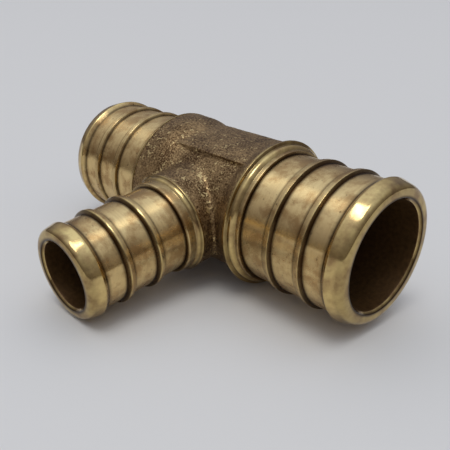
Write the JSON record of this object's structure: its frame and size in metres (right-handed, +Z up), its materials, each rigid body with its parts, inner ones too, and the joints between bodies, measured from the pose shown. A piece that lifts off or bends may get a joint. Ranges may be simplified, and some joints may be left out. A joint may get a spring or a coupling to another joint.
{
  "type": "reducing tee pipe fitting",
  "caption": "Brass barbed reducing tee for crimped PEX tube: two large barbs in line and one smaller barb on the branch.",
  "frame": {"origin": "where the axes of the run and the branch cross, in the middle of the run's bore", "axes": "+X along the run; +Z up as the fitting lies on a bench; the branch points to -Y and dips 7.75 degrees until its end rib meets the bench"},
  "size_m": [0.0518, 0.038, 0.0197],
  "materials": {
    "brass": "machined barbs and collars, rough as-cast body"
  },
  "bodies": {
    "root": {"tee_fitting": "brass"}
  },
  "joints": []
}
